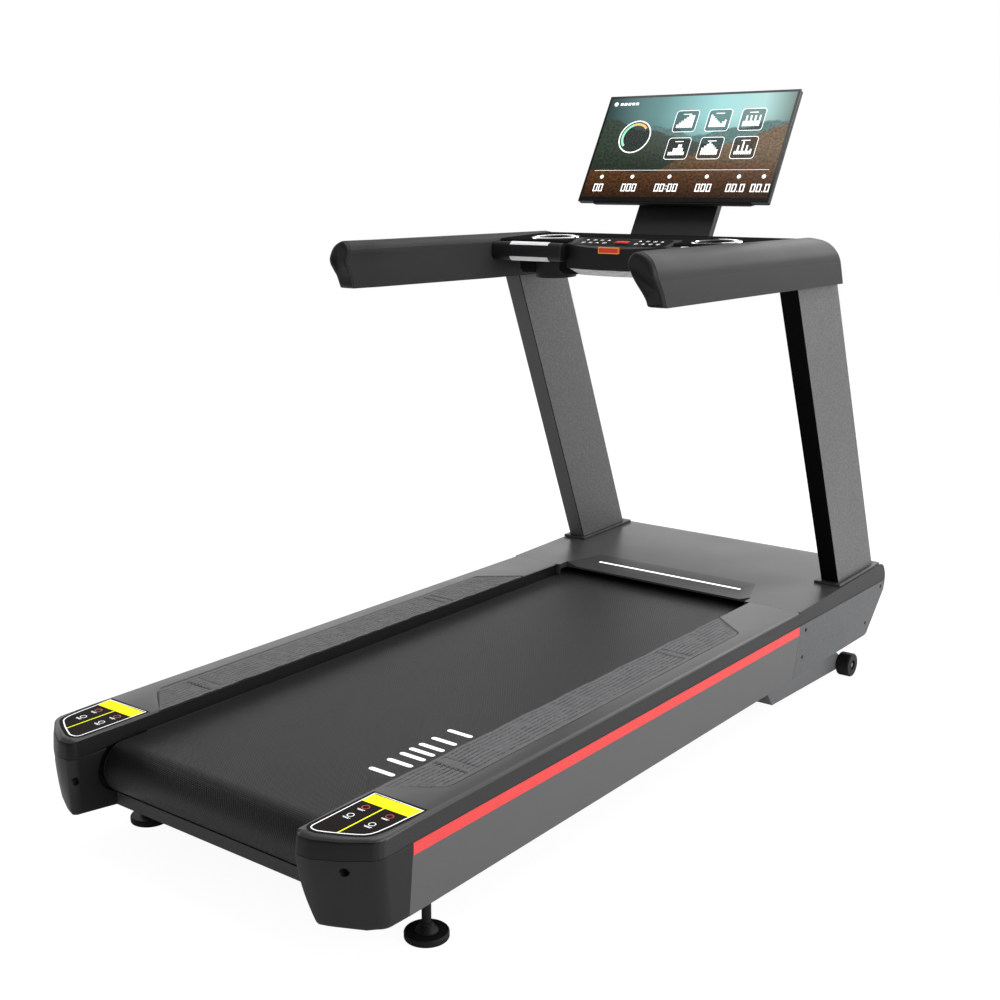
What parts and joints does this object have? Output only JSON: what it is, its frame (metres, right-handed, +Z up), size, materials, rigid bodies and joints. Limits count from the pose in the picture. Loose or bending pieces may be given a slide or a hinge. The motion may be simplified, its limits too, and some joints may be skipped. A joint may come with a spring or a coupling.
{
  "type": "treadmill",
  "caption": "Powered treadmill with a wide running belt between side rails, a motor hood, leaning uprights, handrails with pulse grips, cup holders and a large tilted screen.",
  "frame": {"origin": "on the floor, at the middle of the footprint", "axes": "+X to the user's right, +Y forward along the running direction to the motor hood, +Z up"},
  "size_m": [0.9, 2.172, 1.5633],
  "materials": {
    "rail_paint": "satin powder coat",
    "stripe_red": "gloss",
    "frame_dark": "satin",
    "cover_grey": "fine grain",
    "pad_rubber": "ribbed",
    "plate_black": "printed",
    "cap_black": "fine grain",
    "belt_rubber": "woven grip pattern",
    "deck_board": "waxed top",
    "cushion_rubber": "matt",
    "roller_steel": "turned",
    "axle_steel": "turned",
    "bearing_steel": "ground",
    "bolt_steel": "zinc plated",
    "motor_paint": "satin",
    "rotor_iron": "machined",
    "drive_rubber": "ribbed",
    "controller_metal": "finned",
    "screw_chrome": "polished",
    "lift_paint": "satin powder coat",
    "wheel_rubber": "matt",
    "foot_rubber": "matt",
    "nut_steel": "blackened",
    "hood_grey": "fine grain",
    "light_white": "translucent",
    "inlet_black": "smooth",
    "switch_red": "gloss",
    "plate_grey": "fine grain",
    "screw_black": "blackened",
    "upright_paint": "satin powder coat",
    "boot_rubber": "matt",
    "rail_grip": "soft grain",
    "grip_end": "soft grain",
    "bar_plastic": "fine grain",
    "pulse_metal": "polished",
    "tray_plastic": "fine grain",
    "cup_plastic": "smooth",
    "ring_chrome": "polished",
    "keypad_gloss": "gloss",
    "key_red": "gloss",
    "chin_mesh": "perforated",
    "mast_paint": "satin",
    "screen_shell": "fine grain",
    "screen_glass": "gloss"
  },
  "bodies": {
    "frame": {"side_rail_left": "rail_paint", "side_rail_right": "rail_paint", "accent_stripes": "stripe_red", "rear_beam": "frame_dark", "deck_members": "frame_dark", "front_beam": "frame_dark", "belly_pan": "frame_dark", "deck_board": "deck_board", "deck_cushions": "cushion_rubber", "running_belt": "belt_rubber", "rear_axle": "axle_steel", "front_axle": "axle_steel", "roller_bearings": "bearing_steel", "tension_bolts": "bolt_steel", "drive_motor": "motor_paint", "drive_belt": "drive_rubber", "motor_controller": "controller_metal", "lock_nuts": "nut_steel", "rail_cover_left": "cover_grey", "rail_cover_right": "cover_grey", "tread_pads": "pad_rubber", "label_plates": "plate_black", "end_cap_left": "cap_black", "end_cap_right": "cap_black", "hood": "hood_grey", "light_strip": "light_white", "power_inlet": "inlet_black", "switch_frame": "inlet_black", "front_plates": "plate_grey", "cover_screws": "screw_black", "upright_left": "upright_paint", "upright_right": "upright_paint", "upright_boots": "boot_rubber", "handrail_left": "rail_grip", "handrail_right": "rail_grip", "grip_ends": "grip_end", "pulse_bars": "bar_plastic", "pulse_plates": "pulse_metal", "console_tray": "tray_plastic", "cup_holders": "cup_plastic", "cup_rings": "ring_chrome", "keypad_housing": "tray_plastic", "keypad": "keypad_gloss", "chin_panel": "chin_mesh", "mast": "mast_paint", "screen_housing": "screen_shell", "screen_glass": "screen_glass"},
    "rear_roller": {"rear_roller": "roller_steel"},
    "front_roller": {"front_roller": "roller_steel"},
    "motor_rotor": {"motor_rotor": "rotor_iron"},
    "lift_motor": {"lift_motor": "motor_paint"},
    "lift_screw": {"lift_screw": "screw_chrome"},
    "lift_frame": {"lift_frame": "lift_paint"},
    "front_wheel_left": {"front_wheel_left": "wheel_rubber"},
    "front_wheel_right": {"front_wheel_right": "wheel_rubber"},
    "rear_foot_left": {"rear_foot_left": "foot_rubber"},
    "rear_foot_right": {"rear_foot_right": "foot_rubber"},
    "power_switch": {"power_switch": "switch_red"},
    "stop_key": {"stop_key": "key_red"},
    "safety_key": {"safety_key": "key_red"}
  },
  "joints": [
    {"name": "front_roller_spin", "type": "hinge", "parent": "frame", "child": "front_roller", "pos_m": [0, 0.686, 0.1965], "axis": [1, 0, 0], "continuous": true},
    {"name": "rear_roller_spin", "type": "hinge", "parent": "frame", "child": "rear_roller", "pos_m": [0, -0.963, 0.1965], "axis": [1, 0, 0], "continuous": true},
    {"name": "rotor_spin", "type": "hinge", "parent": "frame", "child": "motor_rotor", "pos_m": [-0.324, 0.871, 0.1905], "axis": [1, 0, 0], "continuous": true},
    {"name": "lift_swing", "type": "hinge", "parent": "frame", "child": "lift_frame", "pos_m": [0, 0.545, 0.056], "axis": [-1, 0, 0], "range_deg": [0, 34]},
    {"name": "front_wheel_left_spin", "type": "hinge", "parent": "lift_frame", "child": "front_wheel_left", "pos_m": [-0.422, 0.915, 0.0325], "axis": [1, 0, 0], "continuous": true},
    {"name": "front_wheel_right_spin", "type": "hinge", "parent": "lift_frame", "child": "front_wheel_right", "pos_m": [0.422, 0.915, 0.0325], "axis": [1, 0, 0], "continuous": true},
    {"name": "ram_tilt", "type": "hinge", "parent": "frame", "child": "lift_motor", "pos_m": [0.042, 0.92, 0.149], "axis": [1, 0, 0], "range_deg": [0, 1.7]},
    {"name": "ram_travel", "type": "slide", "parent": "lift_motor", "child": "lift_screw", "axis": [0, 0.9919, 0.127], "range_m": [0, 0.0252]},
    {"name": "rear_foot_left_height", "type": "slide", "parent": "frame", "child": "rear_foot_left", "axis": [0, 0, -1], "range_m": [0, 0.015]},
    {"name": "rear_foot_right_height", "type": "slide", "parent": "frame", "child": "rear_foot_right", "axis": [0, 0, -1], "range_m": [0, 0.015]},
    {"name": "stop_key_press", "type": "slide", "parent": "frame", "child": "stop_key", "axis": [0, 0.2334, -0.9724], "range_m": [0, 0.0015], "stiffness_N_per_m": 600, "springref_m": -0.0005},
    {"name": "safety_key_pull", "type": "slide", "parent": "frame", "child": "safety_key", "axis": [0, -1, 0], "range_m": [0, 0.03]},
    {"name": "power_switch_rock", "type": "hinge", "parent": "frame", "child": "power_switch", "pos_m": [0.02, 1.03109, 0.17042], "axis": [-1, 0, 0], "range_deg": [0, 16]}
  ],
  "couplings": [
    {"joint": "rear_roller_spin", "follows": "front_roller_spin", "ratio": 1},
    {"joint": "rotor_spin", "follows": "front_roller_spin", "ratio": 1.9167},
    {"joint": "ram_tilt", "follows": "lift_swing", "ratio": 0.0453},
    {"joint": "ram_travel", "follows": "lift_swing", "m_per_rad": 0.04112}
  ]
}
